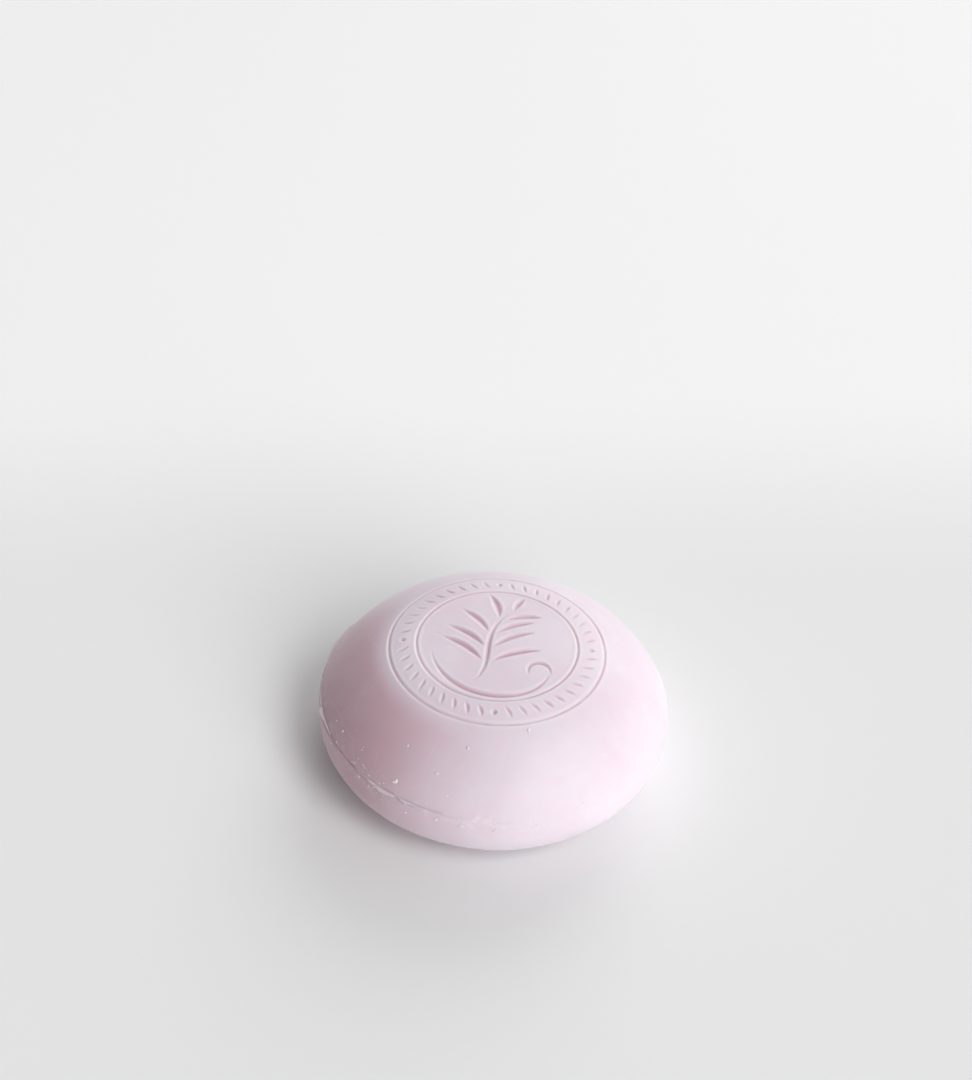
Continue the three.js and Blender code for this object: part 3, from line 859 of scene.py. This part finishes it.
def dustTree():  # grains scattered along the seam, thickest on one side
    tree, given = newShapeTree("scatterDust", dustSizes)
    block = addNode(tree, "GeometryNodeObjectInfo", {"Object": given["Guide"]}, "Geometry")
    where = addNode(tree, "GeometryNodeInputPosition", None, "Position")
    x, y, z = addNode(tree, "ShaderNodeSeparateXYZ", {"Vector": where}).outputs
    flat = addNode(tree, "ShaderNodeCombineXYZ", {"X": x, "Y": y}, "Vector")
    onSide = ramp(tree, facingSide(tree, flat, given["Dusty side"]), 0.5, 0.98, 0.008, 1.0)
    above = calc(tree, "SUBTRACT", z, given["Seam height"])
    lowest = product(tree, given["Reach down"], -1.0)
    near = product(tree, ramp(tree, above, given["Reach up"], 0.3 * mm),
                   ramp(tree, above, lowest, -0.6 * mm))
    clumps = ramp(tree, noiseAt(tree, where, 150.0, 2.0), 0.42, 0.66, 0.05, 1.0)
    density = product(tree, near, clumps, onSide, given["Density"])
    inputs = {"Mesh": block, "Seed": given["Seed"], "Density": density}
    points = addNode(tree, "GeometryNodeDistributePointsOnFaces", inputs)
    ball = {"Segments": 8, "Rings": 4, "Radius": 1.0}
    grain = addNode(tree, "GeometryNodeMeshUVSphere", ball, "Mesh")
    chance = {"Min": 0.0, "Max": 1.0, "Seed": given["Seed"]}
    size = addNode(tree, "FunctionNodeRandomValue", chance, "Value")
    size = calc(tree, "POWER", size, 3.0)  # many small grains and a few large ones
    span = calc(tree, "SUBTRACT", given["Largest"], given["Smallest"])
    size = calc(tree, "MULTIPLY_ADD", size, span, given["Smallest"])
    sides = {"X": size, "Y": product(tree, size, 0.8), "Z": product(tree, size, given["Flatness"])}
    scale = addNode(tree, "ShaderNodeCombineXYZ", sides, "Vector")
    inputs = {"Points": points.outputs["Points"], "Instance": grain, "Scale": scale,
              "Rotation": points.outputs["Rotation"]}
    grains = addNode(tree, "GeometryNodeInstanceOnPoints", inputs, "Instances")
    grains = addNode(tree, "GeometryNodeRealizeInstances", {"Geometry": grains}, "Geometry")
    lumps = addNode(tree, "ShaderNodeTexNoise", {"Vector": where, "Scale": 5200.0, "Detail": 1.0}, "Color")
    lumps = vectorCalc(tree, "SUBTRACT", lumps, (0.5, 0.5, 0.5)).outputs[0]
    push = scaled(tree, lumps, product(tree, given["Roughness"], 2.0))
    shape = addNode(tree, "GeometryNodeSetPosition", {"Geometry": grains, "Offset": push}, "Geometry")
    endShapeTree(tree, shape, given["Material"])
    return tree


def makeDust(block, material):
    dust = newPiece("soapDust", [], [])
    bakeShape(dust, dustTree(), {**dustSizes, "Guide": block, "Material": material})
    finishPiece(dust, "soap_crumb")
    print("dust:", len(dust.data.polygons), "faces")


# floor, light and camera

studioSizes = {
    "floorHalf": 7.0,
    "brightenFrom": 0.05,  # the floor turns paler from here, behind the puck
    "brightenTo": 0.15,
    "brightenTurn": 5.9,  # degrees, so that the change lies level in the view
    "floorColour": (0.86, 0.86, 0.86, 1),
    "farColour": (0.98, 0.98, 0.98, 1),
    "air": (1.0, 1.0, 1.0, 1),
    "airLobes": [  # towards, and how bright straight there
        ((1, 0, 0), 0.56),
        ((0, 1, 0), 0.66),
        ((-1, 0, 0), 0.05),
        ((0, 0, 1), 0.1),
    ],
    "airSeen": 0.9,  # how bright the air looks past the floor's edge
    "boxes": {  # azimuth and height in degrees, distance and diameter in metres, watts
        "lowKey": (-52, 23, 12, 8.8, 880),
        "highKey": (-40, 50, 12, 5.6, 400),
        "backLight": (72, 28, 12, 8.8, 490),
    },
}
cameraSizes = {
    "place": (-3.7 * mm, -241 * mm, 245.9 * mm),
    "lens": 50,
    "down": 37.94,  # degrees below level
    "roll": 3.31,  # the puck leans a little to the right
}


def makeFloor():
    half = studioSizes["floorHalf"]
    corners = [(-half, -half, 0), (half, -half, 0), (half, half, 0), (-half, half, 0)]
    floor = newPiece("floor", corners, [(0, 1, 2, 3)])
    material, tree, shader, place = startMaterial("paleFloor")
    turned = addNode(tree, "ShaderNodeMapping", {"Vector": place}, "Vector")
    turned.node.inputs["Rotation"].default_value[2] = -math.radians(studioSizes["brightenTurn"])
    behind = addNode(tree, "ShaderNodeSeparateXYZ", {"Vector": turned}, "Y")
    share = ramp(tree, behind, studioSizes["brightenFrom"], studioSizes["brightenTo"])
    colour = mixColour(tree, share, studioSizes["floorColour"], studioSizes["farColour"])
    tree.links.new(colour, shader.inputs["Base Color"])
    shader.inputs["Roughness"].default_value = 0.7
    shader.inputs["Specular IOR Level"].default_value = 0.2
    brushed = bumpFrom(tree, noiseAt(tree, place, 500.0, 4.0, 0.6), 0.15, 0.1 * mm)
    tree.links.new(brushed, shader.inputs["Normal"])
    floor.data.materials.append(material)
    print("floor laid")


def makeSoftbox(name, place, size, power, aim):
    light = bpy.data.lights.new(name, "AREA")
    light.shape = "DISK"
    light.size = size
    light.energy = power
    lamp = bpy.data.objects.new(name, light)
    lamp.location = place
    lamp.rotation_euler = (aim - place).to_track_quat("-Z", "Y").to_euler()
    bpy.context.scene.collection.objects.link(lamp)


def makeLight():
    world = bpy.data.worlds.new("studioAir")
    world.use_nodes = True
    tree = world.node_tree
    towards = addNode(tree, "ShaderNodeTexCoord", None, "Generated")
    light = 0.0
    for direction, level in studioSizes["airLobes"]:
        facing = vectorCalc(tree, "DOT_PRODUCT", towards, direction).outputs["Value"]
        light = calc(tree, "MULTIPLY_ADD", calc(tree, "MAXIMUM", facing, 0.0), level, light)
    seen = addNode(tree, "ShaderNodeLightPath", None, "Is Camera Ray")
    shown = product(tree, seen, studioSizes["airSeen"])
    unseen = product(tree, light, calc(tree, "SUBTRACT", 1.0, seen))
    strength = calc(tree, "ADD", unseen, shown)
    background = tree.nodes["Background"]
    background.inputs["Color"].default_value = studioSizes["air"]
    tree.links.new(strength, background.inputs["Strength"])
    bpy.context.scene.world = world
    aim = Vector((0, 0, seamHeight))
    for name, (azimuth, height, distance, size, power) in studioSizes["boxes"].items():
        lift = Matrix.Rotation(-math.radians(height), 3, "Y")
        place = Matrix.Rotation(math.radians(azimuth), 3, "Z") @ lift @ Vector((distance, 0, 0))
        makeSoftbox(name, place, size, power, aim)
    bpy.context.scene.view_settings.view_transform = "Standard"
    print("softboxes:", len(studioSizes["boxes"]))


def makeCamera():
    data = bpy.data.cameras.new("camera")
    data.lens = cameraSizes["lens"]
    data.clip_start = 0.01
    camera = bpy.data.objects.new("camera", data)
    camera.location = cameraSizes["place"]
    tilt = Matrix.Rotation(math.radians(90 - cameraSizes["down"]), 3, "X")
    camera.rotation_euler = (tilt @ Matrix.Rotation(math.radians(cameraSizes["roll"]), 3, "Z")).to_euler()
    bpy.context.scene.collection.objects.link(camera)
    bpy.context.scene.camera = camera


makeCamera()
makeLight()
makeFloor()
pressedSoap = makePressedSoap()
soapWeb = makeDrySoap("soapWeb", (0.78, 0.66, 0.725, 1), 0.6, 1.2 * mm)
soapCrumb = makeDrySoap("soapCrumb", (0.93, 0.85, 0.9, 1), 0.4, 0.2 * mm)
soapBlock = makeBlock(pressedSoap)
makeWebs(soapWeb)
makeCrumbs(soapCrumb)
makeDust(soapBlock, soapCrumb)
